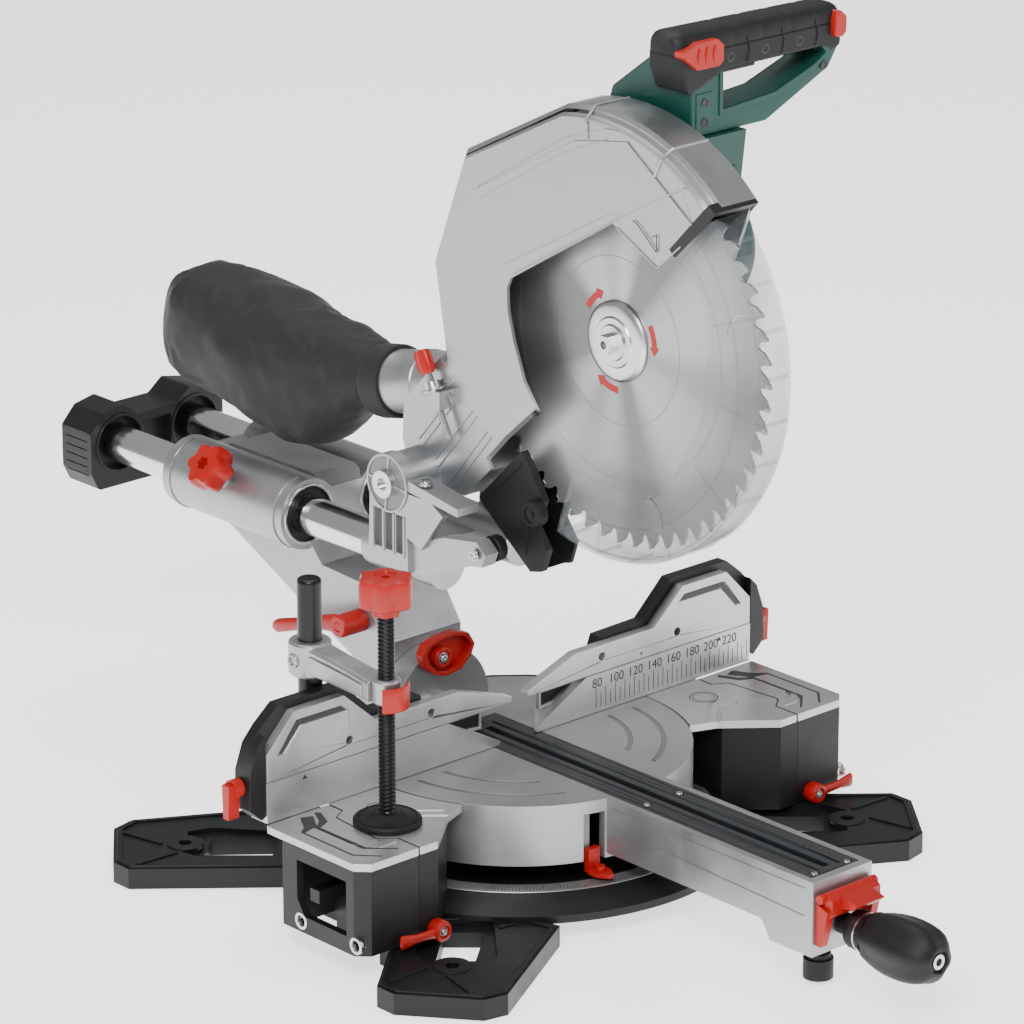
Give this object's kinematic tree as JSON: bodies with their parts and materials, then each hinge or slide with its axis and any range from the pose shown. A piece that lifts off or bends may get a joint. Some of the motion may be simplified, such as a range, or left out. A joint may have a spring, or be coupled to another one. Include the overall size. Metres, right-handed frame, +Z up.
{
  "type": "sliding mitre saw",
  "caption": "Bench-top sliding compound mitre saw with a toothed blade, turntable, fences, side tables, clamp, rails, guard, handle and dust bag",
  "frame": {"origin": "on the bench, under the axis of the turntable, at the middle of the four bolt holes in the feet", "axes": "+X to the operator's right, +Y away from the operator along the rails, +Z up"},
  "size_m": [0.544, 0.8943, 0.658],
  "materials": {
    "black_casting": "black powder coat over a cast base",
    "scale_plate": "satin scale band",
    "machined_alloy": "milled, fine cross-hatched",
    "cast_alloy": "cast and shot blasted",
    "guard_alloy": "silver paint over a casting",
    "steel_fastener": "zinc plated",
    "black_steel": "black oxide",
    "dark_insert": "dark moulded insert",
    "red_plastic": "moulded",
    "black_plastic": "fine textured moulding",
    "black_rubber": "soft moulding",
    "green_plastic": "dark green moulding",
    "rail_steel": "ground and polished tube",
    "bag_fabric": "woven nylon",
    "clear_guard": "clear moulding",
    "blade_steel": "circular brushed steel with carbide tips"
  },
  "bodies": {
    "root": {"base_casting": "black_casting", "mitre_scale": "scale_plate", "table_top_left": "machined_alloy", "table_top_right": "machined_alloy", "fence_lower_left": "machined_alloy", "fence_lower_right": "machined_alloy", "fence_screws": "steel_fastener", "clamp_post": "black_steel"},
    "turntable_body": {"turntable": "cast_alloy", "kerf_insert": "dark_insert", "insert_screws": "steel_fastener", "mitre_pointer": "red_plastic", "bevel_pivot_pin": "steel_fastener"},
    "grip_body": {"mitre_grip": "black_plastic"},
    "detent_body": {"detent_lever": "red_plastic"},
    "foot_body": {"front_foot": "black_rubber"},
    "extension_left_body": {"extension_left": "black_plastic", "extension_top_left": "machined_alloy"},
    "extension_right_body": {"extension_right": "black_plastic", "extension_top_right": "machined_alloy"},
    "extension_lever_left_body": {"extension_lever_left": "red_plastic"},
    "extension_lever_right_body": {"extension_lever_right": "red_plastic"},
    "fence_left_body": {"fence_upper_left": "machined_alloy", "fence_cap_left": "black_plastic"},
    "fence_right_body": {"fence_upper_right": "machined_alloy", "fence_cap_right": "black_plastic"},
    "fence_lever_left_body": {"fence_lever_left": "red_plastic"},
    "fence_lever_right_body": {"fence_lever_right": "red_plastic"},
    "clamp_arm_body": {"clamp_arm": "cast_alloy"},
    "clamp_button_body": {"clamp_button": "red_plastic"},
    "clamp_spindle_body": {"clamp_screw": "black_steel", "clamp_knob": "red_plastic", "clamp_pad": "black_rubber"},
    "tilt_body": {"tilt_arm": "cast_alloy", "rail_bushes": "black_plastic"},
    "rail_lock_body": {"rail_lock_knob": "red_plastic"},
    "bevel_lock_body": {"bevel_lock_lever": "red_plastic"},
    "bevel_stop_body": {"bevel_stop_lever": "red_plastic"},
    "carriage_body": {"rail_left": "rail_steel", "rail_right": "rail_steel", "rail_end_cap": "black_plastic", "head_bracket": "cast_alloy", "head_pivot_pin": "steel_fastener", "link_roller": "black_rubber"},
    "head_body": {"upper_guard": "guard_alloy", "motor_housing": "green_plastic", "handle_frame": "green_plastic", "handle_grip": "black_rubber", "dust_port": "cast_alloy", "dust_bag": "bag_fabric", "chip_chute": "black_rubber", "chute_roller": "black_rubber"},
    "guard_body": {"lower_guard": "clear_guard"},
    "blade_body": {"saw_blade": "blade_steel", "blade_flange": "steel_fastener", "blade_bolt": "steel_fastener", "spindle": "steel_fastener"},
    "lock_button_body": {"lock_buttons": "red_plastic"},
    "trigger_body": {"trigger": "black_plastic"},
    "depth_stop_body": {"depth_stop": "steel_fastener"}
  },
  "joints": [
    {"name": "mitre", "type": "hinge", "parent": "root", "child": "turntable_body", "pos_m": [0, 0, 0.09], "axis": [0, 0, -1], "range_deg": [-47, 47]},
    {"name": "grip_turn", "type": "hinge", "parent": "turntable_body", "child": "grip_body", "pos_m": [0, -0.38, 0.052], "axis": [0, -1, 0], "range_deg": [-90, 90]},
    {"name": "detent_lift", "type": "hinge", "parent": "turntable_body", "child": "detent_body", "pos_m": [0, -0.3425, 0.078], "axis": [-1, 0, 0], "range_deg": [0, 20]},
    {"name": "foot_turn", "type": "hinge", "parent": "turntable_body", "child": "foot_body", "pos_m": [0, -0.316, 0.03], "axis": [0, 0, 1], "range_deg": [-180, 180]},
    {"name": "extension_left_out", "type": "slide", "parent": "root", "child": "extension_left_body", "axis": [-1, 0, 0], "range_m": [0, 0.045]},
    {"name": "extension_right_out", "type": "slide", "parent": "root", "child": "extension_right_body", "axis": [1, 0, 0], "range_m": [0, 0.045]},
    {"name": "extension_lever_left_turn", "type": "hinge", "parent": "root", "child": "extension_lever_left_body", "pos_m": [-0.177, -0.111, 0.024], "axis": [0, 1, 0], "range_deg": [0, 60]},
    {"name": "extension_lever_right_turn", "type": "hinge", "parent": "root", "child": "extension_lever_right_body", "pos_m": [0.205, -0.111, 0.024], "axis": [0, -1, 0], "range_deg": [0, 60]},
    {"name": "fence_left_slide", "type": "slide", "parent": "root", "child": "fence_left_body", "axis": [1, 0, 0], "range_m": [-0.06, 0]},
    {"name": "fence_right_slide", "type": "slide", "parent": "root", "child": "fence_right_body", "axis": [-1, 0, 0], "range_m": [-0.06, 0]},
    {"name": "fence_lever_left_turn", "type": "hinge", "parent": "fence_left_body", "child": "fence_lever_left_body", "pos_m": [-0.263, 0.012, 0.12], "axis": [1, 0, 0], "range_deg": [0, 60]},
    {"name": "fence_lever_right_turn", "type": "hinge", "parent": "fence_right_body", "child": "fence_lever_right_body", "pos_m": [0.263, 0.012, 0.12], "axis": [1, 0, 0], "range_deg": [0, 60]},
    {"name": "clamp_swing", "type": "hinge", "parent": "root", "child": "clamp_arm_body", "pos_m": [-0.178, 0.028, 0.195], "axis": [0, 0, -1], "range_deg": [-40, 40]},
    {"name": "clamp_button_press", "type": "slide", "parent": "clamp_arm_body", "child": "clamp_button_body", "axis": [0, 1, 0], "range_m": [0, 0.003], "stiffness_N_per_m": 400},
    {"name": "clamp_feed", "type": "slide", "parent": "clamp_arm_body", "child": "clamp_spindle_body", "axis": [0, 0, 1], "range_m": [0, 0.05]},
    {"name": "bevel", "type": "hinge", "parent": "turntable_body", "child": "tilt_body", "pos_m": [0, 0.117, 0.09], "axis": [0, -1, 0], "range_deg": [-2, 33]},
    {"name": "bevel_lock_turn", "type": "hinge", "parent": "tilt_body", "child": "bevel_lock_body", "pos_m": [-0.046, 0.134, 0.158], "axis": [1, 0, 0], "range_deg": [-20, 20]},
    {"name": "bevel_stop_turn", "type": "hinge", "parent": "turntable_body", "child": "bevel_stop_body", "pos_m": [-0.008, 0.078, 0.136], "axis": [0, -1, 0], "range_deg": [-20, 20]},
    {"name": "rail_lock_turn", "type": "hinge", "parent": "tilt_body", "child": "rail_lock_body", "pos_m": [-0.038, 0.268, 0.227], "axis": [-0.8, 0, 0.6], "range_deg": [-90, 90]},
    {"name": "rail_slide", "type": "slide", "parent": "tilt_body", "child": "carriage_body", "axis": [0, 1, 0], "range_m": [-0.086, 0.079]},
    {"name": "chop", "type": "hinge", "parent": "carriage_body", "child": "head_body", "pos_m": [0, 0.077, 0.287], "axis": [-1, 0, 0], "range_deg": [-54.5, 0], "stiffness_Nm_per_rad": 16, "springref_deg": 91.67},
    {"name": "guard_swing", "type": "hinge", "parent": "head_body", "child": "guard_body", "pos_m": [0, -0.107, 0.427], "axis": [1, 0, 0], "range_deg": [-141, 0.5]},
    {"name": "blade_spin", "type": "hinge", "parent": "head_body", "child": "blade_body", "pos_m": [0, -0.107, 0.427], "axis": [1, 0, 0], "continuous": true},
    {"name": "lock_button_press", "type": "slide", "parent": "head_body", "child": "lock_button_body", "axis": [0, 1, 0], "range_m": [0, 0.004], "stiffness_N_per_m": 300},
    {"name": "trigger_press", "type": "slide", "parent": "head_body", "child": "trigger_body", "axis": [0, 0, 1], "range_m": [0, 0.004], "stiffness_N_per_m": 300},
    {"name": "depth_stop_set", "type": "slide", "parent": "head_body", "child": "depth_stop_body", "axis": [0, 0.4512, 0.8924], "range_m": [-0.006, 0.006]}
  ],
  "couplings": [
    {"joint": "guard_swing", "follows": "chop", "ratio": 2.5688}
  ]
}
